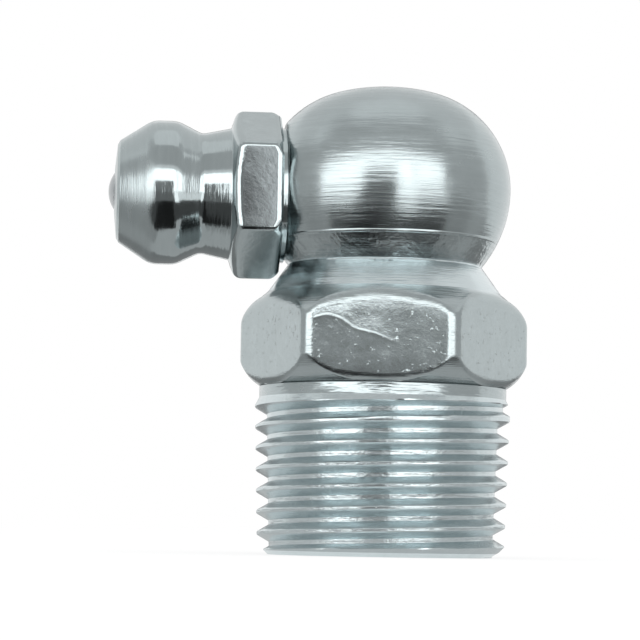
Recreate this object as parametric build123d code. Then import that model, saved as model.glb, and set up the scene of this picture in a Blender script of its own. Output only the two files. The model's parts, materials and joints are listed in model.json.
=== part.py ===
from build123d import *
from math import acos, atan, atan2, degrees, radians, sin, sqrt, tan
import os

# Right-angle hydraulic grease nipple in zinc-plated steel.
# Millimetres. The origin is the middle of the threaded end face, +Z runs up the thread's axis,
# and the nipple head points along -X.

# ---- Tapered thread, which screws into the bearing housing ----
thread_diameter = 12.0            # over the crests, at the gauge plane
thread_gauge_height = 5.5         # end face to gauge plane
thread_length = 7.4               # end face to relief neck
thread_pitch = 1.0
thread_taper = 1 / 16             # change of diameter per length
thread_flank_angle = 60.0
thread_crest_share = 0.15         # flat crest and flat root, as shares of the pitch
thread_root_share = 0.2
thread_end_chamfer = 0.5
run_out_turns = 0.7               # the groove grows shallow over this part of a turn
relief_diameter = 11.7
relief_length = 0.6
relief_taper_length = 0.4         # the crests run down to the relief over this

# ---- Hexagon of the body ----
hex_across_flats = 12.0
hex_edge_radius = 0.8             # on the six upright edges
hex_turn = -7.4                   # degrees about +Z from square with the nipple head
hex_height = 4.4
hex_lower_rounding = 2.2          # one arc from the foot to the hexagon's corners
hex_upper_angle = 50.0            # the turned chamfer, measured from the thread's axis
hex_upper_rounding = 2.0
hex_rim_radius = 0.2              # on the arched edges of the flats
hex_foot_diameter = 11.84
shoulder_diameter = 11.1

# ---- Conical neck and flattened ball ----
neck_diameter = 9.2
ball_rise = 5.1                   # top of the hexagon to the middle of the ball
ball_diameter = 11.9
crown_flattening = 1.17           # how much lower the top is than a whole ball's
crown_radius = 9.5
crown_blend_radius = 4.7

# ---- Grease way inside the body ----
grease_bore_diameter = 4.0
grease_bore_chamfer = 0.4
drill_point_angle = 118.0
outlet_drop = 0.5                 # middle of the ball down to the axis of the nipple head
spot_face_distance = 4.85         # thread axis to the flat that the nipple head seats on
outlet_hole_diameter = 6.0
outlet_hole_beyond_axis = 0.9     # the full diameter runs past the thread's axis by this

# ---- Nipple head, a turned piece screwed into the ball ----
head_length = 7.95                # seat to the tip's outer edge
tip_diameter = 4.7                # at the sharp corner, before its chamfer
tip_chamfer = 0.12
tip_rise = 0.12                   # the tip face runs up to the inlet by this
head_diameter = 6.8
head_cone_angle = 33.0            # the cone and the back of the head, from the head's axis
head_back_angle = 26.0
head_front_rounding = 1.2
head_back_rounding = 1.2
head_band_start = 5.14            # seat to the back end of the widest band
catch_diameter = 5.66             # the neck that the coupler's jaws close on
catch_radius = 0.6
head_shoulder_diameter = 6.25
nipple_hex_across_flats = 7.0
nipple_hex_edge_radius = 0.15
nipple_hex_height = 2.3
nipple_hex_front_angle = 72.0     # the turned chamfers, measured from the head's axis
nipple_hex_back_angle = 42.0
nipple_hex_back_chamfer = 0.3     # along the head's axis
nipple_seat_diameter = 6.4
nipple_seat_length = 0.3          # the round collar between the seat and the hexagon
nipple_seat_margin = 0.05         # how far the spot face reaches past the collar
shank_length = 4.3
shank_play = 0.02                 # radial, between the shank and its hole
shank_end_chamfer = 0.4

# ---- Valve inside the nipple head ----
valve_ball_diameter = 3.0
valve_ball_protrusion = 0.4       # how far the ball stands out past the tip's outer edge
inlet_diameter = 2.0
valve_seat_angle = 45.0
valve_play = 0.02                 # ball to seat, and spring to ball and lip
valve_bore_diameter = 3.2
crimp_thickness = 0.4             # the shank's end, closed in to hold the spring
crimp_diameter = 2.0
spring_outer_diameter = 2.8
spring_wire_diameter = 0.36
spring_wire_sides = 6             # the wire's round section is drawn with this many flats
spring_turns = 6

# ---- Sizes that follow ----
taper_slope = thread_taper / 2
thread_end_radius = thread_diameter / 2 - thread_gauge_height * taper_slope
hex_bottom = thread_length + relief_length
hex_top = hex_bottom + hex_height
ball_height = hex_top + ball_rise
outlet_height = ball_height - outlet_drop
flank_slope = tan(radians(thread_flank_angle / 2))
thread_crest = thread_crest_share * thread_pitch
thread_root = thread_root_share * thread_pitch
thread_depth = (thread_pitch - thread_crest - thread_root) / 2 / flank_slope
ball_radius = ball_diameter / 2
ball_foot_height = ball_height - sqrt(ball_radius**2 - (neck_diameter / 2)**2)
valve_ball_radius = valve_ball_diameter / 2
tip_distance = spot_face_distance + head_length
valve_ball_distance = tip_distance + valve_ball_protrusion - valve_ball_radius
shank_end_distance = spot_face_distance - shank_length
from_base = (Align.CENTER, Align.CENTER, Align.MIN)


def crest_radius(height):
    """Radius over the thread's crests at a height above the end face."""
    return thread_end_radius + height * taper_slope


def polygon(corners):
    """Flat face with these (radius, height) corners."""
    return make_face(Polyline(*corners, close=True))


def rounded(outline, corner, radius):
    """The outline with the corner nearest to this point rounded, as far as its two sides have room."""
    vertex = outline.vertices().sort_by_distance((*corner, 0))[0]
    here = Vector(*vertex)
    sides = []
    for edge in outline.edges():
        near, far = sorted((edge @ 0, edge @ 1), key=lambda end: (end - here).length)
        if (near - here).length < 1e-6:
            sides.append(far - here)
    first, second = sides
    room = min(first.length, second.length) * tan(radians(first.get_angle(second) / 2))
    return fillet(vertex, min(radius, 0.9 * room))


def turned(outline):
    """Solid turned from a half outline that was drawn as (radius, height)."""
    return revolve(Plane.XZ * outline, Axis.Z)


def beside_hexagon(across_flats, edge_radius, start, height):
    """What a hexagon bar lacks of a thicker round bar, about the Z axis, with flats facing -Y and +Y."""
    bar = Cylinder(across_flats, height, align=from_base)
    hexagon = RegularPolygon(across_flats / 2, 6, major_radius=False)
    hexagon = fillet(hexagon.vertices(), edge_radius)
    return Pos(0, 0, start) * (bar - extrude(hexagon, height))


def drill(diameter, depth):
    """A drilled hole up the Z axis from the origin, with the drill's point beyond its depth."""
    radius = diameter / 2
    point = radius / tan(radians(drill_point_angle / 2))
    return turned(polygon([(0, 0), (radius, 0), (radius, depth), (0, depth + point)]))


def thread_groove(start, turns, start_radius, cone_angle, start_angle):
    """One helical cut: a V with a flat root, swept up a helix on a cone."""
    clear = thread_crest / 3 / flank_slope
    half_root = thread_root / 2
    half_mouth = half_root + (thread_depth + clear) * flank_slope
    root = start_radius - thread_depth
    mouth = start_radius + clear
    section = Plane.XZ * polygon([
        (root, start - half_root),
        (mouth, start - half_mouth),
        (mouth, start + half_mouth),
        (root, start + half_root),
    ])
    helix = Helix(thread_pitch, turns * thread_pitch, start_radius, (0, 0, start), cone_angle=cone_angle)
    return Rot(0, 0, start_angle) * Solid.sweep(section.face(), helix, is_frenet=True)


def ball_arcs():
    """The ball's half outline, from its foot to a flatter crown, in three arcs that run together."""
    foot_angle = -degrees(acos(neck_diameter / ball_diameter))
    crown_height = ball_radius - crown_flattening
    crown_drop = crown_radius - crown_height
    blend_radius = min(crown_blend_radius, 0.45 * (ball_radius + crown_height))
    from_ball = ball_radius - blend_radius
    from_crown = crown_radius - blend_radius
    rise = (from_crown**2 - from_ball**2 - crown_drop**2) / (2 * crown_drop)
    reach = sqrt(from_ball**2 - rise**2)
    blend_start = degrees(atan2(rise, reach))
    blend_end = degrees(atan2(rise + crown_drop, reach))
    return [
        CenterArc((0, ball_height), ball_radius, foot_angle, blend_start - foot_angle),
        CenterArc((reach, ball_height + rise), blend_radius, blend_start, blend_end - blend_start),
        CenterArc((0, ball_height - crown_drop), crown_radius, blend_end, 90 - blend_end),
    ]


def body_outline():
    """Half outline of the turned body: thread blank, hexagon bar, cone and flattened ball."""
    corner_radius = hex_across_flats / sqrt(3)
    foot_radius = hex_foot_diameter / 2
    shoulder_radius = shoulder_diameter / 2
    lower_angle = acos(1 - (corner_radius - foot_radius) / hex_lower_rounding)
    lower_run = hex_lower_rounding * sin(lower_angle)
    upper_run = (corner_radius - shoulder_radius) / tan(radians(hex_upper_angle))
    lower_corner = (corner_radius, hex_bottom + lower_run)
    lower_center = (corner_radius - hex_lower_rounding, hex_bottom + lower_run)
    lower_arc = CenterArc(lower_center, hex_lower_rounding, -degrees(lower_angle), degrees(lower_angle))
    upper_corner = (corner_radius, hex_top - upper_run)
    relief_taper_start = thread_length - relief_taper_length
    neck_top = (neck_diameter / 2, ball_foot_height)
    arcs = ball_arcs()
    crown_top = tuple(arcs[-1] @ 1)[:2]
    threaded = Polyline(
        crown_top,
        (0, 0),
        (thread_end_radius - thread_end_chamfer, 0),
        (crest_radius(thread_end_chamfer), thread_end_chamfer),
        (crest_radius(relief_taper_start), relief_taper_start),
        (relief_diameter / 2, thread_length),
        (relief_diameter / 2, hex_bottom),
        (foot_radius, hex_bottom),
    )
    upper = Polyline(lower_corner, upper_corner, (shoulder_radius, hex_top), neck_top)
    outline = make_face([threaded, lower_arc, upper] + arcs)
    return rounded(outline, upper_corner, hex_upper_rounding)


def elbow_body():
    """The one-piece body, drilled up its axis and from the side."""
    body = turned(body_outline())
    up_to_ball = ball_foot_height - hex_bottom
    beside = beside_hexagon(hex_across_flats, hex_edge_radius, hex_bottom, up_to_ball)
    body -= Rot(0, 0, hex_turn) * beside
    arched = (GeomType.HYPERBOLA, GeomType.BSPLINE)
    rims = body.edges().filter_by(lambda edge: edge.geom_type in arched)
    body = fillet(rims, hex_rim_radius)
    groove_start = -thread_pitch
    run_out_height = run_out_turns * thread_pitch
    full_turns = (thread_length - run_out_height - groove_start) / thread_pitch
    groove_end = groove_start + full_turns * thread_pitch
    taper_angle = degrees(atan(taper_slope))
    body -= thread_groove(groove_start, full_turns, crest_radius(groove_start), taper_angle, 0)
    vanish_angle = degrees(atan(thread_depth / run_out_height))
    end_turn = 360 * full_turns
    body -= thread_groove(groove_end, run_out_turns, crest_radius(groove_end), vanish_angle, end_turn)
    spot_face = Box(ball_diameter, ball_diameter, ball_diameter, align=(Align.MAX, Align.CENTER, Align.MIN))
    spot_face_reach = max(nipple_seat_diameter, outlet_hole_diameter) / 2 + nipple_seat_margin
    spot_face_bottom = outlet_height - spot_face_reach
    body -= Pos(-spot_face_distance, 0, spot_face_bottom) * spot_face
    outlet_depth = spot_face_distance + outlet_hole_beyond_axis
    outlet = Rot(0, 90, 0) * drill(outlet_hole_diameter, outlet_depth)
    body -= Pos(-spot_face_distance, 0, outlet_height) * outlet
    body -= drill(grease_bore_diameter, outlet_height)
    bore_radius = grease_bore_diameter / 2
    mouth = Cone(bore_radius + grease_bore_chamfer, bore_radius, grease_bore_chamfer, align=from_base)
    return body - mouth


def lay_along_outlet(piece):
    """Turns a piece made up the Z axis so that it lies in the outlet and points along -X."""
    return Pos(0, 0, outlet_height) * Rot(0, -90, 0) * piece


def nipple_outline():
    """Half outline of the nipple head; heights are distances from the thread's axis."""
    seat = spot_face_distance
    shank_radius = outlet_hole_diameter / 2 - shank_play
    hex_radius = nipple_hex_across_flats / sqrt(3)
    seat_radius = nipple_seat_diameter / 2
    shoulder_radius = head_shoulder_diameter / 2
    hex_start = seat + nipple_seat_length
    shoulder = hex_start + nipple_hex_height
    hex_front = shoulder - (hex_radius - shoulder_radius) / tan(radians(nipple_hex_front_angle))
    hex_back_radius = hex_radius - nipple_hex_back_chamfer * tan(radians(nipple_hex_back_angle))
    head_radius = head_diameter / 2
    tip_radius = tip_diameter / 2
    catch = catch_diameter / 2
    band_back = (head_radius, seat + head_band_start)
    cone_slope = tan(radians(head_cone_angle))
    band_front = (head_radius, tip_distance - (head_radius - tip_radius) / cone_slope)
    catch_point = (catch, band_back[1] - (head_radius - catch) / tan(radians(head_back_angle)))
    outline = polygon([
        (0, shank_end_distance),
        (shank_radius - shank_end_chamfer, shank_end_distance),
        (shank_radius, shank_end_distance + shank_end_chamfer),
        (shank_radius, seat),
        (seat_radius, seat),
        (seat_radius, hex_start),
        (hex_back_radius, hex_start),
        (hex_radius, hex_start + nipple_hex_back_chamfer),
        (hex_radius, hex_front),
        (shoulder_radius, shoulder),
        catch_point,
        band_back,
        band_front,
        (tip_radius + tip_chamfer * cone_slope, tip_distance - tip_chamfer),
        (tip_radius - tip_chamfer, tip_distance),
        (inlet_diameter / 2, tip_distance + tip_rise),
        (0, tip_distance + tip_rise),
    ])
    outline = rounded(outline, catch_point, catch_radius)
    outline = rounded(outline, band_back, head_back_rounding)
    return rounded(outline, band_front, head_front_rounding)


def valve_bore():
    """The hollow of the nipple head: inlet, conical seat, spring bore and crimped end."""
    inlet_radius = inlet_diameter / 2
    bore_radius = valve_bore_diameter / 2
    seat_angle = radians(valve_seat_angle)
    seat_reach = (valve_ball_radius + valve_play) / sin(seat_angle)
    cone_apex = valve_ball_distance + seat_reach
    return turned(polygon([
        (0, shank_end_distance - crimp_thickness),
        (crimp_diameter / 2, shank_end_distance - crimp_thickness),
        (crimp_diameter / 2, shank_end_distance + crimp_thickness),
        (bore_radius, shank_end_distance + crimp_thickness),
        (bore_radius, cone_apex - bore_radius / tan(seat_angle)),
        (inlet_radius, cone_apex - inlet_radius / tan(seat_angle)),
        (inlet_radius, tip_distance + 2 * tip_rise),
        (0, tip_distance + 2 * tip_rise),
    ]))


def nipple_head():
    """The straight nipple: coupler head, hexagon and shank, bored for the valve."""
    piece = turned(nipple_outline())
    hex_start = spot_face_distance + nipple_seat_length
    piece -= beside_hexagon(nipple_hex_across_flats, nipple_hex_edge_radius, hex_start, nipple_hex_height)
    return lay_along_outlet(piece - valve_bore())


def check_ball():
    """The steel ball that closes the inlet."""
    return lay_along_outlet(Pos(0, 0, valve_ball_distance) * Sphere(valve_ball_radius))


def check_spring():
    """The coil spring between the ball and the shank's crimped end, with ends ground flat."""
    wire_radius = spring_wire_diameter / 2
    coil_radius = spring_outer_diameter / 2 - wire_radius
    low = shank_end_distance + crimp_thickness + valve_play
    inner_radius = coil_radius - wire_radius
    high = valve_ball_distance - sqrt((valve_ball_radius + valve_play)**2 - inner_radius**2)
    pitch = (high - low) / spring_turns
    helix = Helix(pitch, high - low + spring_wire_diameter, coil_radius, (0, 0, low - wire_radius))
    section = Plane(helix @ 0, z_dir=helix % 0) * RegularPolygon(wire_radius, spring_wire_sides)
    coil = Solid.sweep(section.face(), helix, is_frenet=True)
    between_ends = Cylinder(spring_outer_diameter, high - low, align=from_base)
    return lay_along_outlet(coil & Pos(0, 0, low) * between_ends)


def main():
    os.makedirs("parts", exist_ok=True)
    pieces = {
        "elbow_body": elbow_body(),
        "nipple_head": nipple_head(),
        "check_ball": check_ball(),
        "check_spring": check_spring(),
    }
    for name, piece in pieces.items():
        export_step(piece, f"parts/{name}.step")


main()
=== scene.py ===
# %% [markdown]
# # A right-angle grease nipple in bright zinc plate
# The steel fitting has a tapered thread, a hexagon for the spanner, a ball-shaped top, and a small
# head at its side on which the coupler of a grease gun snaps.
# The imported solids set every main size.
# This lesson dresses them: each visible piece is made again with finer edges, and gets a finish.
# The frame comes first, because all later numbers are read from it or measured against it.

# %% Load the frame
import bmesh
import bpy
import json
import numpy as np
from math import acos, atan2, copysign, cos, degrees, hypot, pi, radians, sin, sqrt, tan, tau
from mathutils import Matrix, Vector

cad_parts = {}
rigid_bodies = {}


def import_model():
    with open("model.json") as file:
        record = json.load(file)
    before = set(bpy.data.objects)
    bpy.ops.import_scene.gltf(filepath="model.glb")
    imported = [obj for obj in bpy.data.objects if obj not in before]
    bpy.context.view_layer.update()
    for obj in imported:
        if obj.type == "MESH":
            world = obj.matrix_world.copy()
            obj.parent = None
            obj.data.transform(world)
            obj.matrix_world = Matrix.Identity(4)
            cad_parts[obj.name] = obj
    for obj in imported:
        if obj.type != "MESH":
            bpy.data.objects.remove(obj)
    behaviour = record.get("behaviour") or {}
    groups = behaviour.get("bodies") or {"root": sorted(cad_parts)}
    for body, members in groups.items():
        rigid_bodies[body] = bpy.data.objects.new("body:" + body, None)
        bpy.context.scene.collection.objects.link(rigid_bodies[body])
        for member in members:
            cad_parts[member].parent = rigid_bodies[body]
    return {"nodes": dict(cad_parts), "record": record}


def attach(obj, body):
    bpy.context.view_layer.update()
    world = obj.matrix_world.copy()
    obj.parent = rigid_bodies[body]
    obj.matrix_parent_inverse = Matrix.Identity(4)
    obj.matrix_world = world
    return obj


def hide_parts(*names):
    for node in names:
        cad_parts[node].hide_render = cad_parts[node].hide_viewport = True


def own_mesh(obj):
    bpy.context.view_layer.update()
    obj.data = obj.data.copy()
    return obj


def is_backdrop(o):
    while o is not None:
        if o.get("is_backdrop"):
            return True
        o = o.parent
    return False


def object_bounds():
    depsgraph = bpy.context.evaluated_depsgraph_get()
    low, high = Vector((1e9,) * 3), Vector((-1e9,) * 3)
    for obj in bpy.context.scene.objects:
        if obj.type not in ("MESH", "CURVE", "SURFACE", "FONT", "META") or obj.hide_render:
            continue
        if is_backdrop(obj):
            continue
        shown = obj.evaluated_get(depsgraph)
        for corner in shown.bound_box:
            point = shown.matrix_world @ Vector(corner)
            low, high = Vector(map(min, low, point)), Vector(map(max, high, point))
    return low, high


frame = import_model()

cad_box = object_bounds()
print("nodes:", sorted(frame["nodes"]))

# %% [markdown]
# ## Sizes
# A lathe drawing needs few numbers.
# Those that the record holds as mounts are read from there: the spanner's flat gives the hexagon
# and how far it is turned, and the coupler's pin gives the height and radius of the nipple head.
# The others are written once here, in millimetres, and the rest follow from them.

# %% Read the sizes that the record holds
MM = 0.001
mounts = {mount["name"]: mount for mount in frame["record"]["mounts"]}
flat_normal = Vector(mounts["spanner_flat"]["axis"]).normalized()
hex_turn = atan2(flat_normal.y, flat_normal.x) + pi / 2
hex_apothem = abs(flat_normal.dot(Vector(mounts["spanner_flat"]["pos_m"]))) / MM
head_radius = mounts["coupler_head"]["dims"]["r_mm"]
outlet_height = mounts["coupler_head"]["pos_m"][2] / MM
print(f"hexagon {2 * hex_apothem:.2f} mm over its flats, turned {degrees(hex_turn):.1f} degrees")

# %% Name the other sizes
pitch = 1.0
thread_length = 7.4
thread_flank_rise = 1 / tan(radians(30))
taper_slope = 1 / 32
thread_end_radius = 6.0 - 5.5 * taper_slope
thread_end_chamfer = 0.5
root_width = 0.2
crest_width = 0.15
thread_depth = (pitch - root_width - crest_width) / 2 * thread_flank_rise
run_out = 0.7
relief_radius = 5.85
relief_taper_length = 0.4
hex_bottom = 8.0
hex_top = 12.4
hex_foot_radius = 5.92
hex_shoulder_radius = 5.55
hex_lower_rounding = 2.2
hex_upper_rounding = 2.0
hex_upper_angle = radians(50)
hex_edge_radius = 0.8
hex_lower_rim = 0.5
hex_upper_rim = 0.9
shoulder_rounding = 0.12
neck_radius = 4.6
neck_rounding = 0.05
ball_height = 17.5
ball_radius = 5.95
crown_flattening = 1.17
crown_radius = 9.5
crown_blend_radius = 4.7
ball_foot = ball_height - sqrt(ball_radius**2 - neck_radius**2)
bore_radius = 2.0
bore_chamfer = 0.4
outlet_radius = 3.0
outlet_beyond_axis = 0.9
drill_slope = tan(radians(59))
seat = 4.85
edge_gather = 0.6 / 6
rim_points = 5
on_flat_error = 0.004
off_flat_slope = 0.05
print(f"thread depth {thread_depth:.3f} mm, ball starts {ball_foot:.2f} mm up")

# %% [markdown]
# ## Sums as nodes
# A finish or a Geometry Nodes tree needs dozens of Math nodes, and wiring them one by one hides
# the sum that they stand for.
# `Link` wraps a socket, so that Python's own signs add the Math nodes.
# `Tree` adds any other node: its settings are set first, then its sockets get values or links.

# %% Link and Tree
class Link:
    """An output socket. Sums with it add Math nodes to its tree."""

    def __init__(self, tree, socket):
        self.tree = tree
        self.socket = socket

    def __add__(self, other):
        return self.tree.math("ADD", self, other)

    def __sub__(self, other):
        return self.tree.math("SUBTRACT", self, other)

    def __rsub__(self, other):
        return self.tree.math("SUBTRACT", other, self)

    def __mul__(self, other):
        return self.tree.math("MULTIPLY", self, other)

    def __truediv__(self, other):
        return self.tree.math("DIVIDE", self, other)

    def __abs__(self):
        return self.tree.math("ABSOLUTE", self)

    __radd__ = __add__
    __rmul__ = __mul__


class Tree:
    """Adds nodes to a shader or a Geometry Nodes tree."""

    def __init__(self, tree):
        self.tree = tree

    def node(self, kind, inputs=(), output=0, **settings):
        made = self.tree.nodes.new(kind)
        for name, value in settings.items():
            setattr(made, name, value)
        for key, value in dict(inputs).items():
            if isinstance(value, Link):
                self.tree.links.new(value.socket, made.inputs[key])
            else:
                made.inputs[key].default_value = value
        return Link(self, made.outputs[output]) if len(made.outputs) else None

    def math(self, operation, *values, clamp=False):
        return self.node("ShaderNodeMath", enumerate(values), operation=operation, use_clamp=clamp)

    def parts(self, vector):
        split = self.node("ShaderNodeSeparateXYZ", {0: vector}).socket.node
        return [Link(self, socket) for socket in split.outputs]

    def vector(self, x, y, z):
        return self.node("ShaderNodeCombineXYZ", {0: x, 1: y, 2: z})


print("Link and Tree are ready")

# %% [markdown]
# ## Meshes from outlines
# Every turned piece is a stack of rings, read off an outline that was drawn as radius and height.
# Spinning one outline would do for a plain turned piece, but a hexagon bar cuts the outline short
# by a different amount at every angle.
# So each column of the mesh gets its own outline, and all have the same number of points.
# Columns gather at the hexagon's edges, where the shape bends most.

# %% Helpers for outlines and rings
def column_angles(count, turn):
    """Angles of the columns; they stand closer at six edges, the first of which is at the turn."""
    share = np.arange(count) / count
    return turn + tau * share - edge_gather * np.sin(6 * tau * share)


def off_middle(angle, turn=0.0):
    """How far an angle is from the middle of its flat, with an edge at the turn."""
    return (angle - turn) % (tau / 6) - tau / 12


def hexagon_radius(angle, turn, apothem, edge_radius):
    """Distance from the axis to a hexagon bar with rounded edges."""
    off_flat = off_middle(angle, turn)
    on_flat = apothem / cos(off_flat)
    edge_centre = (apothem - edge_radius) / cos(tau / 12)
    off_edge = tau / 12 - abs(off_flat)
    aside = edge_centre * sin(off_edge)
    on_edge = edge_centre * cos(off_edge) + sqrt(max(0, edge_radius**2 - aside**2))
    side = abs(on_flat * sin(off_flat))
    round_start = (apothem - edge_radius) * tan(tau / 12)
    return on_flat if side < round_start else on_edge


def arc(centre, radius, start, end, count):
    """Points of an arc between two angles."""
    angles = np.linspace(start, end, count)
    return [(centre[0] + radius * cos(a), centre[1] + radius * sin(a)) for a in angles]


def bend(corner, way_in, way_out, radius, count):
    """Points of the small round that replaces a corner, and how far it reaches from there."""
    way_in = np.array(way_in) / hypot(*way_in)
    way_out = np.array(way_out) / hypot(*way_out)
    turn = atan2(way_in[0] * way_out[1] - way_in[1] * way_out[0], way_in @ way_out)
    reach = radius * tan(abs(turn) / 2)
    side = np.array((-way_in[1], way_in[0])) * copysign(radius, turn)
    centre = np.array(corner) - way_in * reach + side
    turns = np.linspace(0, turn, count)
    x, y = side
    arms = [(x * cos(t) - y * sin(t), x * sin(t) + y * cos(t)) for t in turns]
    return [tuple(centre - arm) for arm in arms], reach


class Path:
    """A line through points that can be read by the length along it."""

    def __init__(self, points):
        self.points = np.array(points, float)
        steps = np.hypot(*np.diff(self.points, axis=0).T)
        self.marks = np.concatenate(([0], np.cumsum(steps)))

    def at(self, length):
        return tuple(np.interp(length, self.marks, self.points[:, axis]) for axis in (0, 1))

    def where_radius(self, radius):
        """Length at which the radius, which only grows or only shrinks, has this value."""
        radii = self.points[:, 0]
        order = 1 if radii[-1] > radii[0] else -1
        return float(np.interp(radius, radii[::order], self.marks[::order]))

    def between(self, start, end, count):
        return [self.at(length) for length in np.linspace(start, end, count)]


def rounded_line(corners, count=4):
    """Points of a line whose corners (radius, height, rounding) are rounded."""
    points = [corners[0][:2]]
    for before, here, after in zip(corners, corners[1:], corners[2:]):
        way_in = np.subtract(here[:2], before[:2])
        way_out = np.subtract(after[:2], here[:2])
        points += bend(here[:2], way_in, way_out, here[2], count)[0] if here[2] else [here[:2]]
    return points + [corners[-1][:2]]


def skin(columns, closed=False):
    """Vertices and faces that wrap round an axis; each column is a list of (x, y, z)."""
    count, rows = len(columns), len(columns[0])
    vertices = [point for column in columns for point in column]
    faces = []
    for here in range(count):
        left, right = here * rows, (here + 1) % count * rows
        for row in range(rows if closed else rows - 1):
            up = (row + 1) % rows
            faces.append((left + row, right + row, right + up, left + up))
    return vertices, faces


def solid(name, *skins):
    """A closed mesh from skins in millimetres whose rims meet; a rim that stays open is capped."""
    mesh = bmesh.new()
    for vertices, faces in skins:
        made = [mesh.verts.new(Vector(vertex) * MM) for vertex in vertices]
        for face in faces:
            mesh.faces.new([made[index] for index in face])
    return closed_mesh(name, mesh)


def closed_mesh(name, mesh):
    """Merges what meets, caps what is open, points the faces outwards and returns the object."""
    bmesh.ops.remove_doubles(mesh, verts=mesh.verts, dist=0.0005 * MM)
    bmesh.ops.holes_fill(mesh, edges=[edge for edge in mesh.edges if edge.is_boundary])
    bmesh.ops.recalc_face_normals(mesh, faces=mesh.faces)
    data = bpy.data.meshes.new(name)
    mesh.to_mesh(data)
    mesh.free()
    made = bpy.data.objects.new(name, data)
    bpy.context.scene.collection.objects.link(made)
    return made


def settle(made):
    """Turns what the modifiers of an object make into its own plain mesh."""
    bpy.context.view_layer.update()
    seen = made.evaluated_get(bpy.context.evaluated_depsgraph_get())
    data = bpy.data.meshes.new_from_object(seen)
    made.modifiers.clear()
    made.data = data
    data.name = made.name
    return made


def combine(made, other, operation):
    """Joins another solid to an object, or cuts it away, and removes the other."""
    change = made.modifiers.new(operation, "BOOLEAN")
    change.object = other
    change.operation = operation
    change.solver = "EXACT"
    settle(made)
    bpy.data.objects.remove(other)
    return made


def smooth(made, sharp_angle=32):
    """Smooth shading that leaves edges above an angle crisp and large faces flat."""
    made.data.shade_smooth()
    made.data.set_sharp_from_angle(angle=radians(sharp_angle))
    weighted = made.modifiers.new("even", "WEIGHTED_NORMAL")
    weighted.keep_sharp = True
    weighted.weight = 100
    return settle(made)


columns = 264
print("first columns:", np.round(np.degrees(column_angles(columns, hex_turn)[:4]), 2))

# %% [markdown]
# ## Finishes
# The plating is thin and bright, so what is seen is mostly what the steel under it was like:
# rings left by the lathe on turned faces, a mottled drawn skin on the hexagon's flats.
# All of it comes from noise that is read in the piece's own coordinates.
# For lathe rings the noise is stretched round the axis: radius and height are scaled up and the
# direction round the axis hardly counts, so the pattern has no seam and no pole.
# Where a mark belongs to one place only, a band of coordinates fades it in and out.

# %% Patterns that all zinc finishes share
def coordinates(tree, centre, turn):
    """Object coordinates in millimetres, with the lathe's axis laid on Z."""
    read = tree.node("ShaderNodeTexCoord", output="Object")
    laid = tree.node("ShaderNodeMapping", {"Vector": read, "Location": [-x * MM for x in centre]})
    return tree.node(
        "ShaderNodeMapping", {"Vector": laid, "Rotation": turn, "Scale": (1 / MM,) * 3}
    )


def lathe_rings(tree, place, per_mm, round_share, detail=3.0, roughness=0.6):
    """Noise in rings about Z; the round share says how fast it changes along a ring."""
    x, y, z = tree.parts(place)
    radius = tree.math("SQRT", x * x + y * y)
    never_zero = radius + 0.05
    around_x = x / never_zero * round_share
    around_y = y / never_zero * round_share
    spot = tree.vector(radius * per_mm, z * per_mm, around_x)
    return tree.node(
        "ShaderNodeTexNoise",
        {"Vector": spot, "W": around_y, "Scale": 1.0, "Detail": detail, "Roughness": roughness},
        "Fac", noise_dimensions="4D",
    )


def mottle(tree, place, per_mm, detail=3.0, roughness=0.55):
    """Even noise in all directions."""
    return tree.node(
        "ShaderNodeTexNoise",
        {"Vector": place, "Scale": per_mm, "Detail": detail, "Roughness": roughness}, "Fac",
    )


def band(tree, value, low, high):
    """How far a value is on the way from low to high, from 0 to 1; low may be the larger."""
    return tree.node(
        "ShaderNodeMapRange", {0: value, 1: low, 2: high}, interpolation_type="SMOOTHSTEP"
    )


def metal(name, draw, anisotropic=0.0, centre=(0, 0, 0), turn=(0, 0, 0)):
    """A metal finish; draw returns its colour, roughness and height in millimetres."""
    material = bpy.data.materials.new(name)
    material.use_nodes = True
    material.node_tree.nodes.clear()
    tree = Tree(material.node_tree)
    colour, roughness, height = draw(tree, coordinates(tree, centre, turn))
    normal = tree.node("ShaderNodeBump", {"Height": height, "Distance": MM, "Strength": 1.0})
    shader = tree.node("ShaderNodeBsdfPrincipled", {
        "Base Color": colour, "Roughness": roughness, "Normal": normal,
        "Metallic": 1.0, "Anisotropic": anisotropic, "Anisotropic Rotation": 0.25,
    })
    tree.node("ShaderNodeOutputMaterial", {"Surface": shader})
    print("finish", name, "with", len(material.node_tree.nodes), "nodes")
    return material


def shade(tree, share, dark, light):
    """A colour between two, by a share from 0 to 1; the dark end may be a link."""
    dark_end = dark if isinstance(dark, Link) else (*dark, 1)
    return tree.node(
        "ShaderNodeMix", {0: share, 6: dark_end, 7: (*light, 1)}, 2,
        data_type="RGBA", clamp_factor=True,
    )


print("the patterns are ready")

# %% [markdown]
# ## Zinc, steel and where the marks are
# The neck is painted brighter than the rest, as a painted highlight.
# Under the ball is a dappled band with a fine ring at its top, and the groove over the thread is
# scored round.
# The hexagon's front flat carries one folded crease: above a wandering line the skin sinks away.
# The nipple's front flat looks duller, because painted shade darkens its colour.
# A V-shaped thread sends light back after several bounces, and its zinc is painted the lightest to
# stand for that light.

# %% Turned zinc, drawn zinc and threaded zinc
zinc_dark = (0.34, 0.385, 0.39)
zinc_light = (0.475, 0.535, 0.545)
# Colour of the painted shade on the nipple's front flat.
zinc_painted_shade = (0.12, 0.13, 0.135)
# Brighter zinc for painted light: the highlight on the neck and the bounced light in the thread.
zinc_painted_light = (0.73, 0.81, 0.83)
foot_ring = ball_foot + 1.15
cone_foot = 11.15
crease_start, crease_end = -3.2, 0.8
crease_height = 10.6
crease_drop = 0.95
crease_wander = 1.1
crease_fade = 2
front_flat = (-4.2, -4.7)
# Span across the nipple's front flat where the painted shade lies.
painted_shade_flat = (-3.4, -3.48)


def zone(tree, value, low, high, low_fade, high_fade):
    """1 between two heights, fading out in these widths: below the low, and at the high."""
    return band(tree, value, high + high_fade, high) * band(tree, value, low - low_fade, low)


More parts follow.
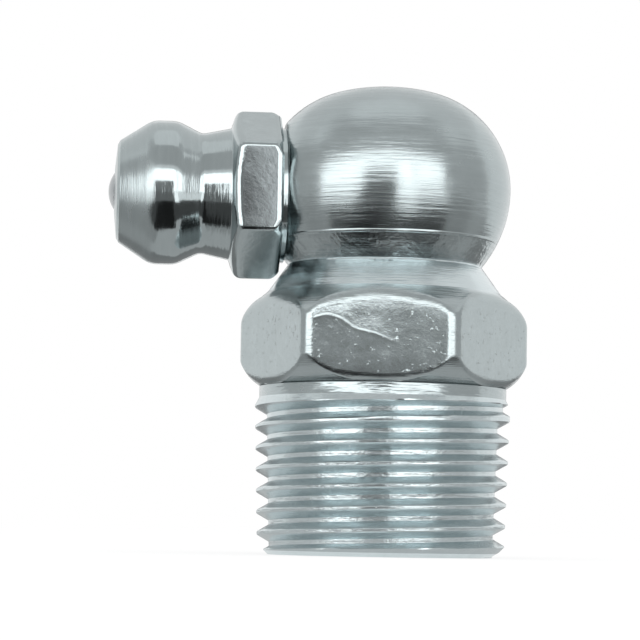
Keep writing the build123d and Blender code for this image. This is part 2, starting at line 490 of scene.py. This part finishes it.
def turned_zinc(tree, place):
    """Lathe rings, with a painted highlight on the neck, a dappled foot under the ball and a
    scored groove.
    """
    fine = lathe_rings(tree, place, 7.0, 2.0)
    coarse = lathe_rings(tree, place, 2.2, 1.2)
    cloud = mottle(tree, place, 0.9)
    height = tree.parts(place)[2]
    neck = zone(tree, height, hex_top, ball_foot, 0.3, 0.1)
    colour = shade(tree, fine * 0.35 + cloud * 0.4 + coarse * 0.45, zinc_dark, zinc_light)
    # Painted highlight: the neck's colour is pushed toward the brighter zinc.
    colour = shade(tree, neck * 0.7, colour, zinc_painted_light)
    roughness = 0.15 + band(tree, coarse, 0.35, 0.7) * 0.08 + cloud * 0.08
    foot = zone(tree, height, ball_foot, foot_ring - 0.1, 0.1, 0.15)
    ring = band(tree, abs(height - foot_ring), 0.09, 0.02)
    dapple = mottle(tree, place, 2.6, 2.0)
    groove = zone(tree, height, thread_length, hex_bottom - 0.1, 0.2, 0.1)
    streak = lathe_rings(tree, place, 1.3, 1.6)
    rings = fine * 0.02 + coarse * 0.014 + cloud * 0.01
    marks = ring * 0.03 + foot * dapple * 0.05 + groove * streak * 0.16
    return colour, roughness, rings + marks


def nipple_zinc(tree, place):
    """Finer lathe rings, with a less polished cone."""
    fine = lathe_rings(tree, place, 7.0, 2.0)
    coarse = lathe_rings(tree, place, 1.5, 1.0)
    colour = shade(tree, fine * 0.4 + coarse * 0.7, zinc_dark, zinc_light)
    cone = band(tree, tree.parts(place)[2], cone_foot - 0.15, cone_foot + 0.1)
    roughness = 0.1 + band(tree, coarse, 0.4, 0.7) * 0.06 + cone * 0.14
    return colour, roughness, fine * 0.009 + coarse * 0.012


def drawn_zinc(tree, place):
    """The skin of drawn bar, with small dents, and the crease on the front flat."""
    cloud = mottle(tree, place, 0.9, 4.0)
    grit = mottle(tree, place, 5.0, 3.0, 0.7)
    dent = band(tree, mottle(tree, place, 4.2, 1.0), 0.67, 0.75)
    x, y, height = tree.parts(place)
    wander = (mottle(tree, place, 0.7, 0.0) - 0.5) * crease_wander
    fold = crease_height - band(tree, x, crease_start, crease_end) * crease_drop + wander
    here = band(tree, x, crease_end, crease_end - crease_fade) * band(tree, y, *front_flat)
    sunk = tree.math("MAXIMUM", height - fold, 0.0) * here
    ridge = band(tree, abs(height - fold), 0.18, 0.0) * here
    colour = shade(tree, cloud * 0.7 + grit * 0.5, zinc_dark, zinc_light)
    roughness = 0.15 + cloud * 0.14
    relief = cloud * 0.024 + grit * 0.006 + dent * 0.02 - sunk * 0.036 + ridge * 0.006
    return colour, roughness, relief


def nipple_flat_zinc(tree, place):
    """Drawn skin, with painted shade on the flat at the front."""
    cloud = mottle(tree, place, 1.1, 4.0)
    grit = mottle(tree, place, 5.0, 3.0, 0.7)
    colour = shade(tree, cloud * 0.7 + grit * 0.5, zinc_dark, zinc_light)
    # Painted shade: the front flat's colour is darkened toward near-black zinc.
    painted_shade = band(tree, tree.parts(place)[1], *painted_shade_flat)
    colour = shade(tree, painted_shade * 0.75, colour, zinc_painted_shade)
    return colour, 0.14 + cloud * 0.14, cloud * 0.018 + grit * 0.006


def threaded_zinc(tree, place):
    """Zinc painted lighter for the light bounced in the groove, with rings along the groove."""
    fine = lathe_rings(tree, place, 9.0, 2.0)
    grit = mottle(tree, place, 4.0)
    wave = lathe_rings(tree, place, 1.2, 5.0)
    # Painted light: the thread's colour runs between light zinc and the brighter zinc.
    colour = shade(tree, fine * 0.4 + grit * 0.3 + wave * 0.3, zinc_light, zinc_painted_light)
    roughness = 0.2 + grit * 0.1
    height = fine * 0.012 + grit * 0.002 + wave * 0.05
    return colour, roughness, height


nipple_lay = {"centre": (0, 0, outlet_height), "turn": (0, pi / 2, 0)}
turned_finish = metal("zinc_turned", turned_zinc, anisotropic=0.4)
drawn_finish = metal("zinc_drawn", drawn_zinc)
thread_finish = metal("zinc_thread", threaded_zinc)
nipple_flat_finish = metal("zinc_nipple_flats", nipple_flat_zinc, **nipple_lay)
nipple_finish = metal("zinc_nipple", nipple_zinc, **nipple_lay)


# %% Ball steel and spring steel
def polished_steel(tree, place):
    """Smooth bearing steel."""
    cloud = mottle(tree, place, 1.6)
    colour = shade(tree, cloud, (0.34, 0.36, 0.37), (0.44, 0.46, 0.47))
    return colour, 0.14 + cloud * 0.1, cloud * 0.001


def wire_steel(tree, place):
    """Drawn spring wire, duller than the ball."""
    grain = mottle(tree, place, 6.0)
    colour = shade(tree, grain, (0.3, 0.3, 0.3), (0.52, 0.52, 0.52))
    return colour, 0.3 + grain * 0.15, grain * 0.004


ball_finish = metal("ball_steel", polished_steel)
spring_finish = metal("spring_steel", wire_steel)

# %% [markdown]
# ## The tapered thread
# The groove runs up a cone as one helix and fades out before the relief.
# A swept and cut helix would shatter into slivers, so Geometry Nodes make the whole skin at once:
# a grid is rolled into a tube whose rows climb one pitch in a turn.
# Each row then keeps its place on the thread's profile, and crest and root stay clean lines.
# The rows are cut off level at both ends, and where they pile up they are merged.

# %% Grow the thread with Geometry Nodes
def geometry_tree(name, sizes):
    """A Geometry Nodes tree with these named number inputs and a material input."""
    group = bpy.data.node_groups.new(name, "GeometryNodeTree")
    group.interface.new_socket("Geometry", in_out="OUTPUT", socket_type="NodeSocketGeometry")
    group.interface.new_socket("Geometry", in_out="INPUT", socket_type="NodeSocketGeometry")
    for size, value in sizes.items():
        kind = "NodeSocketInt" if isinstance(value, int) else "NodeSocketFloat"
        group.interface.new_socket(size, in_out="INPUT", socket_type=kind)
    group.interface.new_socket("Finish", in_out="INPUT", socket_type="NodeSocketMaterial")
    tree = Tree(group)
    entry = group.nodes.new("NodeGroupInput")
    return tree, {socket.name: Link(tree, socket) for socket in entry.outputs if socket.name}


def finish_tree(tree, mesh, material):
    """Ends a tree in plain geometry with its finish."""
    real = tree.node("GeometryNodeRealizeInstances", {0: mesh})
    dressed = tree.node("GeometryNodeSetMaterial", {"Geometry": real, "Material": material})
    tree.node("NodeGroupOutput", {0: dressed})


def grown(name, tree, sizes, finish):
    """Runs a Geometry Nodes tree with its sizes and returns the plain mesh object."""
    made = bpy.data.objects.new(name, bpy.data.meshes.new(name))
    bpy.context.scene.collection.objects.link(made)
    nodes = made.modifiers.new(name, "NODES")
    nodes.node_group = tree.tree
    for item in tree.tree.interface.items_tree:
        if item.in_out == "INPUT" and item.name in sizes:
            nodes[item.identifier] = sizes[item.name]
        if item.in_out == "INPUT" and item.name == "Finish":
            nodes[item.identifier] = finish
    return settle(made)


rows_per_pitch = 20
top_radius = thread_end_radius + thread_length * taper_slope
thread_sizes = {
    "Columns": columns,
    "Rows": int((thread_length / pitch + 1) * rows_per_pitch) + 2,
    "Rows per pitch": rows_per_pitch,
    "Pitch": pitch * MM,
    "Length": thread_length * MM,
    "End radius": thread_end_radius * MM,
    "Taper slope": taper_slope,
    "Depth": thread_depth * MM,
    "Root": root_width * MM,
    "End chamfer": thread_end_chamfer * MM,
    "Relief radius": relief_radius * MM,
    "Relief slope": (top_radius - relief_radius) / relief_taper_length,
    "Run-out": run_out * MM,
    "Turn": hex_turn,
}
tree, size = geometry_tree("tapered_thread", thread_sizes)
grid = tree.node("GeometryNodeMeshGrid", {
    "Size X": 1.0, "Size Y": 1.0,
    "Vertices X": size["Columns"] + 1, "Vertices Y": size["Rows"] + 1,
}, "Mesh")
across, up, _ = tree.parts(tree.node("GeometryNodeInputPosition"))
share = across + 0.5
angle = size["Turn"] + share * tau - tree.math("SINE", share * (6 * tau)) * edge_gather
turns = angle / tau
row = tree.math("ROUND", (up + 0.5) * size["Rows"])
free_height = (row / size["Rows per pitch"] + turns - 1) * size["Pitch"]
height = tree.math("MINIMUM", tree.math("MAXIMUM", free_height, 0.0), size["Length"])
phase = tree.math("FRACT", height / size["Pitch"] - turns + 2.5)
off_root = (phase - 0.5) * size["Pitch"]
fade = tree.math("DIVIDE", size["Length"] - (height - off_root), size["Run-out"], clamp=True)
up_flank = tree.math("MAXIMUM", abs(off_root) - size["Root"] * 0.5, 0.0) * thread_flank_rise
cut = tree.math("MAXIMUM", size["Depth"] * fade - up_flank, 0.0)
crest = size["End radius"] + height * size["Taper slope"]
chamfered = size["End radius"] - size["End chamfer"] + height
run_down = size["Relief radius"] + (size["Length"] - height) * size["Relief slope"]
radius = tree.math("MINIMUM", tree.math("MINIMUM", crest - cut, chamfered), run_down)
spot = tree.vector(tree.math("COSINE", angle) * radius, tree.math("SINE", angle) * radius, height)
rolled = tree.node("GeometryNodeSetPosition", {"Geometry": grid, "Position": spot})
merged = tree.node("GeometryNodeMergeByDistance", {"Geometry": rolled, "Distance": 0.001 * MM})
finish_tree(tree, merged, size["Finish"])
thread = grown("thread_skin", tree, thread_sizes, thread_finish)
print("thread skin:", len(thread.data.polygons), "faces")

# %% [markdown]
# ## Hexagon, shoulder and neck
# The bar was turned to a round outline first, and where the outline stands out beyond the
# hexagon bar, the flat shows instead.
# Where the two meet, an arched rim is left on each flat, and the tumbling before plating
# rounds it a little.
# Each column starts on the thread's last ring, so that the two skins merge.

# %% Columns of the hexagon
corner_radius = hex_apothem / cos(tau / 12)
lower_angle = acos(1 - (corner_radius - hex_foot_radius) / hex_lower_rounding)
lower_middle = hex_bottom + hex_lower_rounding * sin(lower_angle)
lower_centre = (corner_radius - hex_lower_rounding, lower_middle)
lower_path = Path(arc(lower_centre, hex_lower_rounding, -lower_angle, 0, 120))
upper_run = (corner_radius - hex_shoulder_radius) / tan(hex_upper_angle)
upper_corner = (corner_radius, hex_top - upper_run)
upper_way = (hex_shoulder_radius - corner_radius, upper_run)
upper_bend, _ = bend(upper_corner, (0, 1), upper_way, hex_upper_rounding, 120)
upper_path = Path(upper_bend + [(hex_shoulder_radius, hex_top)])


def hexagon_column(angle):
    """The outline of the hexagon, shoulder and neck at one angle, as (radius, height)."""
    bar = hexagon_radius(angle, hex_turn, hex_apothem, hex_edge_radius)
    low = lower_path.where_radius(bar)
    high = upper_path.where_radius(bar)
    low_point, high_point = lower_path.at(low), upper_path.at(high)
    below = np.subtract(low_point, lower_path.at(low - 0.01))
    above = np.subtract(upper_path.at(high + 0.01), high_point)
    low_rim, low_reach = bend(low_point, below, (0, 1), hex_lower_rim, rim_points)
    high_rim, high_reach = bend(high_point, (0, 1), above, hex_upper_rim, rim_points)
    flat_height = high_point[1] - low_point[1]
    return (
        [(relief_radius, thread_length), (relief_radius, hex_bottom)]
        + lower_path.between(0, low - low_reach, 7)[:-1] + low_rim
        + [(bar, low_point[1] + flat_height * share) for share in (0.25, 0.5, 0.75)]
        + high_rim + upper_path.between(high + high_reach, upper_path.marks[-1], 7)[1:-1]
        + rounded_line([
            upper_path.at(upper_path.marks[-1] - 0.1),
            (hex_shoulder_radius, hex_top, shoulder_rounding),
            (neck_radius, ball_foot, neck_rounding), (0.5 * neck_radius, ball_foot),
        ])[1:]
    )


angles = column_angles(columns, hex_turn)
hexagon_skin = skin([
    [(r * cos(angle), r * sin(angle), z) for r, z in hexagon_column(angle)] for angle in angles
])
print("hexagon skin:", len(hexagon_skin[1]), "faces")

# %% Join the thread and the hexagon
mesh = bmesh.new()
mesh.from_mesh(thread.data)
bpy.data.objects.remove(thread)
vertices = [mesh.verts.new(Vector(point) * MM) for point in hexagon_skin[0]]
for face in hexagon_skin[1]:
    mesh.faces.new([vertices[index] for index in face])
body = closed_mesh("elbow_body_dressed", mesh)
print("lower body:", len(body.data.polygons), "faces")

# %% [markdown]
# ## The flattened ball
# The top of the fitting is a ball with a flatter crown: three arcs that run together.
# Its columns run round the nipple's axis and not round the thread's, because then the seat that
# the cutter leaves under the nipple is a clean circle with its own small round.

# %% Columns of the ball
crown_drop = crown_radius - (ball_radius - crown_flattening)
from_ball = ball_radius - crown_blend_radius
from_crown = crown_radius - crown_blend_radius
rise = (from_crown**2 - from_ball**2 - crown_drop**2) / (2 * crown_drop)
reach = sqrt(from_ball**2 - rise**2)
blend_start = atan2(rise, reach)
blend_end = atan2(rise + crown_drop, reach)
crown_start = atan2(
    rise + crown_blend_radius * sin(blend_end), reach + crown_blend_radius * cos(blend_end)
)


def ball_reach(elevation):
    """Distance from the ball's middle to its surface at an elevation."""
    if elevation <= blend_start:
        return ball_radius
    centre, radius = (reach, rise), crown_blend_radius
    if elevation >= crown_start:
        centre, radius = (0, -crown_drop), crown_radius
    toward = centre[0] * cos(elevation) + centre[1] * sin(elevation)
    aside = centre[0] * sin(elevation) - centre[1] * cos(elevation)
    return toward + sqrt(radius**2 - aside**2)


def ball_point(polar, around):
    """A point of the ball; polar is the angle off the nipple's direction, around turns on it."""
    way = np.array((-cos(polar), sin(polar) * cos(around), sin(polar) * sin(around)))
    return way * ball_reach(atan2(way[2], hypot(way[0], way[1])))


def ball_column(around, count=110, seat_rim=0.1):
    """One column of the ball, from the middle of the nipple's seat to the far pole."""
    low, high = 0.2, 1.2
    for _ in range(40):
        middle = (low + high) / 2
        inside = -ball_point(middle, around)[0] > seat
        low, high = (middle, high) if inside else (low, middle)
    ahead = ball_point(high + 0.01, around) - ball_point(high, around)
    out = hypot(*ball_point(high, around)[1:])
    way_out = (hypot(*ball_point(high + 0.01, around)[1:]) - out, ahead[0])
    rim, reach = bend((out, -seat), (1, 0), way_out, seat_rim, rim_points)
    start = high + reach / ball_radius
    outline = [(share * rim[0][0], -seat) for share in (0, 0.5)] + rim[:-1]
    face = [(x, r * cos(around), r * sin(around)) for r, x in outline]
    ball = [tuple(ball_point(polar, around)) for polar in np.linspace(start, pi, count)]
    return [(x, y, z + ball_height) for x, y, z in face + ball]


ball_columns = 200
ball = solid("ball", skin([
    ball_column(-tau * index / ball_columns) for index in range(ball_columns)
]))
print("ball:", len(ball.data.polygons), "faces")

# %% [markdown]
# ## The grease way
# Grease enters through the nipple and leaves through a bore in the thread's end.
# Both holes are drilled, so each ends in the drill's blunt point.
# They are cut with a Boolean, the one place where it is the plain choice, because it is also
# what the drill does.

# %% Drill the bore and the outlet
drill_columns = 96
overshoot = 1


def drill(name, outline, to_place):
    """A closed turned cutter from (radius, height) points that start and end on the axis."""
    turned = [
        [to_place(r * cos(angle), r * sin(angle), h) for r, h in outline]
        for angle in np.linspace(0, tau, drill_columns, endpoint=False)
    ]
    return solid(name, skin(turned))


bore_mouth = bore_radius + bore_chamfer + overshoot
bore_outline = [
    (0, -overshoot), (bore_mouth, -overshoot), (bore_radius, bore_chamfer),
    (bore_radius, outlet_height), (0, outlet_height + bore_radius / drill_slope),
]
outlet_depth = seat + outlet_beyond_axis
outlet_outline = [
    (0, -overshoot), (outlet_radius, -overshoot), (outlet_radius, outlet_depth),
    (0, outlet_depth + outlet_radius / drill_slope),
]
bore = drill("bore", bore_outline, lambda x, y, h: (x, y, h))
outlet = drill("outlet", outlet_outline, lambda x, y, h: (h - seat, y, outlet_height - x))
combine(body, ball, "UNION")
combine(body, bore, "DIFFERENCE")
combine(body, outlet, "DIFFERENCE")
print("drilled body:", len(body.data.polygons), "faces")

# %% Give the body its finishes
def dress_body(made):
    """Thread, flats and turned faces each get their finish, by where a face lies."""
    made.data.materials.clear()
    for finish in (turned_finish, drawn_finish, thread_finish):
        made.data.materials.append(finish)
    for face in made.data.polygons:
        place = face.center / MM
        out = hypot(place.x, place.y) * cos(off_middle(atan2(place.y, place.x), hex_turn))
        upright_face = abs(face.normal.z) < off_flat_slope
        on_flat = abs(out - hex_apothem) < on_flat_error and upright_face
        face.material_index = 2 if place.z < thread_length else int(on_flat)


dress_body(body)
smooth(body)
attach(body, "fitting")
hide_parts("elbow_body")
print("dressed body:", len(body.data.polygons), "faces")

# %% [markdown]
# ## The nipple head
# A coupler's jaws slide over the cone and the widest band and close behind it.
# The piece is turned from hexagon bar as the body is, about its own axis, and bored for the valve.
# Its outline is a closed ring, outside and inside, so the skin closes on itself.

# %% Columns of the nipple
nipple_apothem = 3.5
play = 0.02
nipple_edge_radius = 0.3
nipple_rim_radius = 0.45
seat_radius = 3.2
hex_start = seat + 0.3
back_chamfer = 0.3
front_slope = tan(radians(72))
back_slope = tan(radians(42))
back_face_radius = nipple_apothem / cos(tau / 12) - back_chamfer * back_slope
least_back_chamfer = 0.06
head_shoulder_radius = 3.125
hex_shoulder = hex_start + 2.3
catch_radius = 2.83
tip = seat + 7.95
tip_radius = 2.35
tip_chamfer = 0.12
tip_rise = 0.12
catch_rounding = 0.6
head_rounding = 1.2
face_rounding = 0.08
tip_rounding = 0.05
band_back = seat + 5.14
cone_slope = tan(radians(33))
band_front = tip - (head_radius - tip_radius) / cone_slope
catch = band_back - (head_radius - catch_radius) / tan(radians(26))
shank_radius = outlet_radius - play
shank_chamfer = 0.4
shank_end = seat - 4.3
crimp = 0.4
inlet_radius = 1.0
valve_bore_radius = 1.6
valve_ball_radius = 1.5
valve_ball_stands_out = 0.4
valve_ball_place = tip + valve_ball_stands_out - valve_ball_radius
seat_apex = valve_ball_place + (valve_ball_radius + play) / sin(radians(45))


def nipple_column(angle):
    """The closed outline at one angle, as (radius, distance from the thread's axis)."""
    bar = hexagon_radius(angle, 0, nipple_apothem, nipple_edge_radius)
    back_face = (min(bar - least_back_chamfer, back_face_radius), hex_start, face_rounding)
    back = (bar, hex_start + (bar - back_face[0]) / back_slope, nipple_rim_radius)
    front = (bar, hex_shoulder - (bar - head_shoulder_radius) / front_slope, nipple_rim_radius)
    corners = [
        (inlet_radius, shank_end + crimp), (inlet_radius, shank_end, 0),
        (shank_radius - shank_chamfer, shank_end, 0), (shank_radius, shank_end + shank_chamfer, 0),
        (shank_radius, seat, 0), (seat_radius, seat, 0.04), (seat_radius, hex_start, 0.05),
        back_face, back, (bar, (back[1] + front[1]) / 2, 0), front,
        (head_shoulder_radius, hex_shoulder, face_rounding),
        (catch_radius, catch, catch_rounding),
        (head_radius, band_back, head_rounding), (head_radius, band_front, head_rounding),
        (tip_radius + tip_chamfer * cone_slope, tip - tip_chamfer, tip_rounding),
        (tip_radius - tip_chamfer, tip, tip_rounding), (inlet_radius, tip + tip_rise, 0.03),
        (inlet_radius, seat_apex - inlet_radius, 0),
        (valve_bore_radius, seat_apex - valve_bore_radius, 0),
        (valve_bore_radius, shank_end + crimp),
    ]
    return rounded_line(corners, 7)


nipple_columns = 240
nipple = solid("nipple_head_dressed", skin([
    [(-s, -r * sin(angle), outlet_height + r * cos(angle)) for r, s in nipple_column(angle)]
    for angle in column_angles(nipple_columns, 0)
], closed=True))
nipple.data.materials.append(nipple_finish)
nipple.data.materials.append(nipple_flat_finish)
for face in nipple.data.polygons:
    y, up = face.center.y / MM, face.center.z / MM - outlet_height
    out = hypot(y, up) * cos(off_middle(atan2(-y, up)))
    on_flat = abs(out - nipple_apothem) < on_flat_error and abs(face.normal.x) < off_flat_slope
    face.material_index = int(on_flat)
smooth(nipple)
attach(nipple, "fitting")
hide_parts("nipple_head")
print("nipple head:", len(nipple.data.polygons), "faces")

# %% [markdown]
# ## Check ball and spring
# A hardened ball closes the inlet, and a coil spring behind it pushes it there.
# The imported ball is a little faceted, so a finer one stands in its place and rides on the valve.

# %% Make the check ball
mesh = bmesh.new()
bmesh.ops.create_icosphere(mesh, subdivisions=5, radius=valve_ball_radius * MM)
bmesh.ops.translate(mesh, verts=mesh.verts, vec=Vector((-valve_ball_place, 0, outlet_height)) * MM)
check_ball = closed_mesh("check_ball_dressed", mesh)
check_ball.data.materials.append(ball_finish)
check_ball.data.shade_smooth()
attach(check_ball, "valve")
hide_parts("check_ball")
print("check ball:", len(check_ball.data.polygons), "faces")

# %% Wind the spring with Geometry Nodes
wire_radius = 0.18
spring_radius = 1.4
coil_radius = spring_radius - wire_radius
coil_turns = 6.0
spring_low = shank_end + crimp + play
ball_touch = sqrt((valve_ball_radius + play)**2 - (coil_radius - wire_radius)**2)
spring_high = valve_ball_place - ball_touch
spring_sizes = {
    "Turns": coil_turns + 2 * wire_radius / (spring_high - spring_low) * coil_turns,
    "Points": 400,
    "Wire sides": 14,
    "Wire radius": wire_radius * MM,
    "Coil radius": coil_radius * MM,
    "Low end": spring_low * MM,
    "High end": spring_high * MM,
    "Height of axis": outlet_height * MM,
}
tree, size = geometry_tree("coil_spring", spring_sizes)
line = tree.node("GeometryNodeMeshLine", {"Count": size["Points"]}, mode="OFFSET")
share = tree.node("GeometryNodeInputIndex") / (size["Points"] - 1)
angle = share * size["Turns"] * tau
start = size["Low end"] - size["Wire radius"]
length = size["High end"] - size["Low end"] + size["Wire radius"] * 2
spot = tree.vector(
    0 - (start + length * share),
    tree.math("COSINE", angle) * size["Coil radius"],
    tree.math("SINE", angle) * size["Coil radius"] + size["Height of axis"],
)
coiled = tree.node("GeometryNodeSetPosition", {"Geometry": line, "Position": spot})
path = tree.node("GeometryNodeMeshToCurve", {"Mesh": coiled})
wire_sizes = {"Resolution": size["Wire sides"], "Radius": size["Wire radius"]}
wire = tree.node("GeometryNodeCurvePrimitiveCircle", wire_sizes, mode="RADIUS")
tube_inputs = {"Curve": path, "Profile Curve": wire, "Fill Caps": True}
tube = tree.node("GeometryNodeCurveToMesh", tube_inputs)
x, y, z = tree.parts(tree.node("GeometryNodeInputPosition"))
ground = tree.math("MAXIMUM", tree.math("MINIMUM", x, 0 - size["Low end"]), 0 - size["High end"])
ground_spot = tree.vector(ground, y, z)
ground_tube = tree.node("GeometryNodeSetPosition", {"Geometry": tube, "Position": ground_spot})
finish_tree(tree, ground_tube, size["Finish"])
spring = grown("check_spring_dressed", tree, spring_sizes, spring_finish)
spring.data.shade_smooth()
spring.data.set_sharp_from_angle(angle=radians(40))
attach(spring, "fitting")
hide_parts("check_spring")
outlet_height * MM
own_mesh(spring)
print("spring:", len(spring.data.polygons), "faces")

# %% [markdown]
# ## Camera
# The fitting is seen from just above the floor, a little from its left, with a long lens.
# The camera's place is given as an angle and a distance round the thread's axis, and its three
# directions are worked out from where it looks.

# %% Place the camera
camera_side = radians(6.0)
camera_distance = 123.0
camera_height = 1.2
look_side = radians(4.586)
look_up = radians(4.62)
roll = radians(1.0)
focal_pixels = 2593
image_pixels = 640

camera = bpy.data.objects.new("camera", bpy.data.cameras.new("camera"))
bpy.context.scene.collection.objects.link(camera)
bpy.context.scene.camera = camera
camera.data.sensor_width = 36.0
camera.data.lens = focal_pixels / image_pixels * camera.data.sensor_width
camera.data.clip_start = 5 * MM
camera.data.clip_end = 5.0
forward = Vector((sin(look_side) * cos(look_up), cos(look_side) * cos(look_up), sin(look_up)))
level_right = forward.cross(Vector((0, 0, 1))).normalized()
level_up = level_right.cross(forward)
right = level_right * cos(roll) + level_up * sin(roll)
upward = level_up * cos(roll) - level_right * sin(roll)
turn = Matrix((right, upward, -forward)).transposed().to_4x4()
eye_way = Vector((-sin(camera_side), -cos(camera_side), camera_height / camera_distance))
eye = eye_way * camera_distance * MM
camera.matrix_world = Matrix.Translation(eye) @ turn
bpy.context.scene.view_settings.view_transform = "Standard"
print("camera at", [round(x, 4) for x in eye], "lens", round(camera.data.lens, 1), "mm")

# %% [markdown]
# ## Floor, surroundings and lamps
# Bright metal shows its surroundings more than its own colour, so the studio is part of the look.
# Large soft lamps stand left, right and above the camera, with a grey strip between them.
# Cards that only reflections see do the rest: bright and dark ones lie on the table, so that the
# undersides have contrast, and greys stand at the sides, behind and overhead.
# The floor is pale, and looks white to the camera where no shadow falls on it.

# %% Build the floor and the world
def seen_directly(tree):
    """1 for rays that come from the camera, off metal or through glass."""
    rays = tree.node("ShaderNodeLightPath").socket.node
    names = ("Is Camera Ray", "Is Glossy Ray", "Is Transmission Ray")
    chosen = [Link(tree, rays.outputs[name]) for name in names]
    return tree.math("MINIMUM", chosen[0] + chosen[1] + chosen[2], 1.0)


world = bpy.data.worlds.new("studio")
bpy.context.scene.world = world
world.use_nodes = True
world.node_tree.nodes.clear()
tree = Tree(world.node_tree)
white = tree.node("ShaderNodeBackground", {"Color": (1, 1, 1, 1), "Strength": 1.0})
tree.node("ShaderNodeOutputWorld", {"Surface": white})

floor_finish = bpy.data.materials.new("pale_floor")
floor_finish.use_nodes = True
floor_finish.node_tree.nodes.clear()
tree = Tree(floor_finish.node_tree)
matt = tree.node("ShaderNodeBsdfDiffuse", {"Color": (1, 1, 1, 1)})
glow = tree.node("ShaderNodeEmission", {"Color": (1, 1, 1, 1), "Strength": 1.0})
glow_share = 0.75
both = tree.node("ShaderNodeMixShader", {0: seen_directly(tree) * glow_share, 1: matt, 2: glow})
tree.node("ShaderNodeOutputMaterial", {"Surface": both})


def panel(name, corners, finish):
    """A flat stage panel with these corners in millimetres."""
    data = bpy.data.meshes.new(name)
    data.from_pydata([Vector(corner) * MM for corner in corners], [], [range(len(corners))])
    data.materials.append(finish)
    made = bpy.data.objects.new(name, data)
    bpy.context.scene.collection.objects.link(made)
    made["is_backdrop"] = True
    return made


half = 2000
floor_corners = [(-half, -half, 0), (half, -half, 0), (half, half, 0), (-half, half, 0)]
panel("floor", floor_corners, floor_finish)
print("floor and world are ready")


# %% Hang the lamps and cards
lamp_wall = 200
card_wall = 190
side_wall = 150
lamp_band = (-4.7, 31)


def lamp(name, azimuths, elevations, strength):
    """A soft lamp on an upright wall, by the angles at which the ball sees it.

    The azimuths are counted to the right of the camera, and the strength is how bright the lamp
    is when looked at.
    """
    left, right = (lamp_wall * tan(radians(angle)) for angle in azimuths)
    low, high = (ball_height + lamp_wall * tan(radians(angle)) for angle in elevations)
    data = bpy.data.lights.new(name, "AREA")
    data.shape = "RECTANGLE"
    data.size, data.size_y = (right - left) * MM, (high - low) * MM
    data.energy = strength * pi * data.size * data.size_y
    made = bpy.data.objects.new(name, data)
    wall = Matrix.Rotation(-camera_side, 4, "Z")
    middle = Matrix.Translation(Vector(((left + right) / 2, -lamp_wall, (low + high) / 2)) * MM)
    made.matrix_world = wall @ middle @ Matrix.Rotation(pi / 2, 4, "X")
    made.visible_camera = False
    bpy.context.scene.collection.objects.link(made)


def card(name, corners, grey):
    """A glowing card that only shows in reflections; corners are (azimuth, distance, height)."""
    finish = bpy.data.materials.new(name)
    finish.use_nodes = True
    finish.node_tree.nodes.clear()
    tree = Tree(finish.node_tree)
    glow = tree.node("ShaderNodeEmission", {"Color": (grey, grey, grey, 1), "Strength": 1.0})
    tree.node("ShaderNodeOutputMaterial", {"Surface": glow})
    places = []
    for azimuth, distance, height in corners:
        side = radians(azimuth) - camera_side
        places.append((sin(side) * distance, -cos(side) * distance, height))
    made = panel(name, places, finish)
    for ray in ("camera", "diffuse", "shadow", "transmission", "volume_scatter"):
        setattr(made, "visible_" + ray, False)


def upright(low, high, elevations, distance):
    """Corners of an upright card between two azimuths and two elevations seen from the ball."""
    heights = [ball_height + distance * tan(radians(angle)) for angle in elevations]
    return [
        (low, distance, heights[0]), (high, distance, heights[0]),
        (high, distance, heights[1]), (low, distance, heights[1]),
    ]


def level(azimuths, near, far, height):
    """Corners of a level card that spans these azimuths between two distances from the axis."""
    inner = [(azimuth, near, height) for azimuth in azimuths]
    return inner + [(azimuth, far, height) for azimuth in reversed(azimuths)]


lamp("left_lamp", (-60, -20), lamp_band, 1.55)
lamp("right_lamp", (10, 25), lamp_band, 1.6)
lamp("right_side_lamp", (26.5, 54), lamp_band, 1.45)
lamp("upper_lamp", (-20, 10), (11, 31), 1.6)
card("camera_side", upright(-20, 10, (-4.9, 11), card_wall), 0.3)
table_height = 0.4
table_cards = {
    "left_table": ([(-31, 52), (-20, 205), (-60, 400), (-64, 70)], 1.6),
    "right_table": ([(10, 42), (28, 42), (28, 205), (10, 205)], 2.0),
    "right_side_table": ([(28, 48), (58, 66), (56, 390), (28, 205)], 1.3),
    "middle_table": ([(-31, 50), (10, 50), (10, 205), (-20, 205)], 0.22),
}
for name, (corners, grey) in table_cards.items():
    card(name, [(azimuth, distance, table_height) for azimuth, distance in corners], grey)
card("dark_table", level((-55, -28, 0, 28, 60), 14, 62, 0.3), 0.09)
card("before_nipple", [(-53, 17.5, 0.35), (-21, 10, 0.35), (2, 62, 0.35), (-8, 64, 0.35)], 0.02)
card("near_table", [(azimuth, 17, 0.2) for azimuth in range(-180, 180, 15)], 0.6)
card("left_of_table", level((-84, -55), 14, 150, 0.25), 0.42)
card("far_left_of_table", level((-112, -84), 14, 150, 0.2), 0.5)
card("right_of_table", level((60, 86), 14, 150, 0.25), 0.38)
card("far_right_of_table", level((86, 112), 14, 150, 0.2), 0.5)
card("upper_ring", level(range(-90, 91, 30), 94, 200, 250), 0.68)
card("upper_front", [(-63, 440, 170), (63, 440, 170), (81, 397, 235), (-81, 397, 235)], 0.6)
card("back_middle", upright(168, 192, (-4.9, 20), card_wall), 0.25)
card("back_table", level(range(110, 251, 10), 14, 60, 0.3), 0.3)
card("back_ring", level(range(90, 271, 30), 94, 330, 250), 0.85)
card("left_side", upright(-105, -61, (-4.7, 34), side_wall), 0.6)
card("right_side", upright(55, 105, (-4.7, 34), side_wall), 0.6)

# %% Compare the boxes and finish
dressed_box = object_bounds()
boxes = {
    "cad": [list(corner) for corner in cad_box], "visual": [list(corner) for corner in dressed_box]
}
for kind, box in boxes.items():
    print(kind, "box:", [[round(x / MM, 2) for x in corner] for corner in box])
